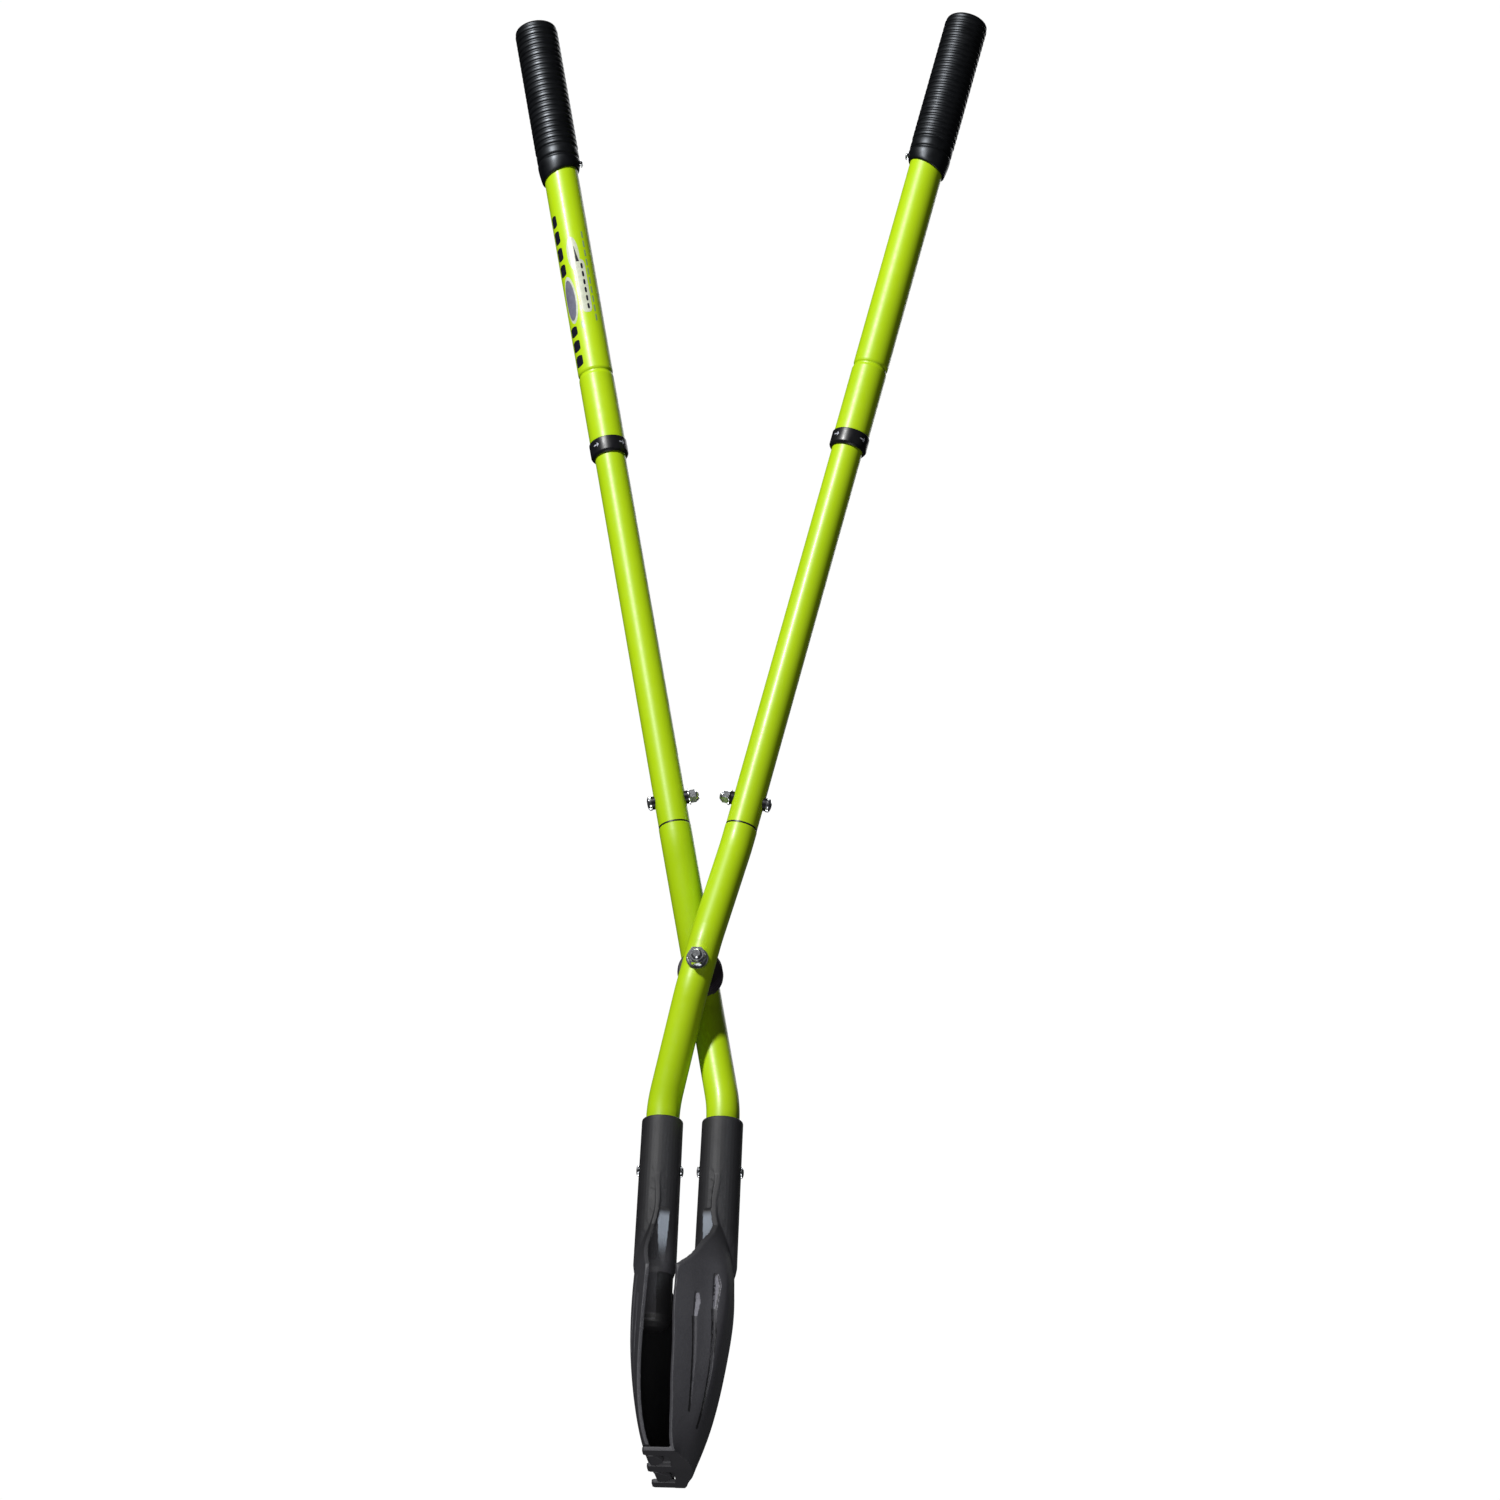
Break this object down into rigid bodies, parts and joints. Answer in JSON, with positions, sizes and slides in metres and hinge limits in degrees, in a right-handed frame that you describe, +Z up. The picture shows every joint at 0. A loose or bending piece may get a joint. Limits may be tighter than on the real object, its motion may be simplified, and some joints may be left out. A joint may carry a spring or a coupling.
{
  "type": "post hole digger",
  "caption": "Scissor-action digger and clean-up scoop: two crossed lime tube legs on a pivot bolt, telescoping twist-lock handles with ribbed grips, toothed plastic scoops.",
  "frame": {"origin": "centre of the outline in X and Y at the level of the scoop lips", "axes": "+Z up along the closed tool, +X towards the rear leg's scoop, -Y towards the front leg's side of the pivot"},
  "size_m": [0.3944, 0.1092, 1.2566],
  "materials": {
    "lime_paint": "gloss",
    "grip_rubber": "satin",
    "black_plastic": "satin",
    "scoop_plastic": "matte",
    "spacer_rubber": "satin",
    "nylon": "matte",
    "zinc_steel": "satin"
  },
  "bodies": {
    "rear_leg": {"rear_inner_tube": "lime_paint", "rear_lock_stud": "nylon", "rear_joint_bolt": "zinc_steel", "rear_joint_nut": "zinc_steel", "rear_joint_washers": "black_plastic", "rear_bent_tube": "lime_paint", "rear_scoop": "scoop_plastic", "rear_scoop_rivets": "zinc_steel", "rear_spacer": "spacer_rubber", "rear_pivot_washer": "zinc_steel", "pivot_bolt": "zinc_steel", "pivot_nut": "zinc_steel"},
    "front_leg": {"front_inner_tube": "lime_paint", "front_lock_stud": "nylon", "front_joint_bolt": "zinc_steel", "front_joint_nut": "zinc_steel", "front_joint_washers": "black_plastic", "front_bent_tube": "lime_paint", "front_scoop": "scoop_plastic", "front_scoop_rivets": "zinc_steel", "front_spacer": "spacer_rubber", "front_pivot_washer": "zinc_steel"},
    "rear_lock": {"rear_lock_expander": "nylon"},
    "front_lock": {"front_lock_expander": "nylon"},
    "rear_handle": {"rear_upper_tube": "lime_paint", "rear_grip": "grip_rubber", "rear_grip_screw": "zinc_steel", "rear_tube_plug": "nylon", "rear_lock_collar": "black_plastic"},
    "front_handle": {"front_upper_tube": "lime_paint", "front_grip": "grip_rubber", "front_grip_screw": "zinc_steel", "front_tube_plug": "nylon", "front_lock_collar": "black_plastic"}
  },
  "joints": [
    {"name": "jaw_pivot", "type": "hinge", "parent": "rear_leg", "child": "front_leg", "pos_m": [0, 0, 0.396], "axis": [0, 1, 0], "range_deg": [0, 35]},
    {"name": "rear_twist", "type": "hinge", "parent": "rear_leg", "child": "rear_lock", "pos_m": [-0.11643, 0, 0.94376], "axis": [-0.2079, 0, 0.9781], "range_deg": [0, 180]},
    {"name": "rear_telescope", "type": "slide", "parent": "rear_lock", "child": "rear_handle", "axis": [0.2079, 0, -0.9781], "range_m": [0, 0.26]},
    {"name": "front_twist", "type": "hinge", "parent": "front_leg", "child": "front_lock", "pos_m": [0.11643, 0, 0.94376], "axis": [0.2079, 0, 0.9781], "range_deg": [0, 180]},
    {"name": "front_telescope", "type": "slide", "parent": "front_lock", "child": "front_handle", "axis": [-0.2079, 0, -0.9781], "range_m": [0, 0.26]}
  ]
}
